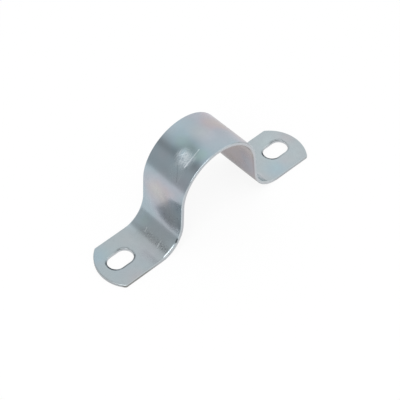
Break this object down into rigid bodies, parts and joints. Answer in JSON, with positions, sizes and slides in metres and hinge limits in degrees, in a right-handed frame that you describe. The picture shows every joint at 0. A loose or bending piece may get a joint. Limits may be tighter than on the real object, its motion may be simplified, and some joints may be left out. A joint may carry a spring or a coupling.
{
  "type": "conduit strap",
  "caption": "Flat steel strip pressed into an omega arch with a slotted, round-ended foot on each side, to hold a round conduit or pipe against a wall.",
  "frame": {"origin": "on the wall face, midway between the feet and on the strip's centre line, under the crown", "axes": "+X along the strap from foot to foot, +Y across the strip, which is the way the conduit runs, +Z away from the wall towards the crown of the arch"},
  "size_m": [0.0932, 0.02, 0.036],
  "materials": {
    "zinc_plated_steel": "bright zinc plating with a clear blue passivation, soft gloss, fine rolling grain"
  },
  "bodies": {
    "root": {"strap": "zinc_plated_steel"}
  },
  "joints": []
}
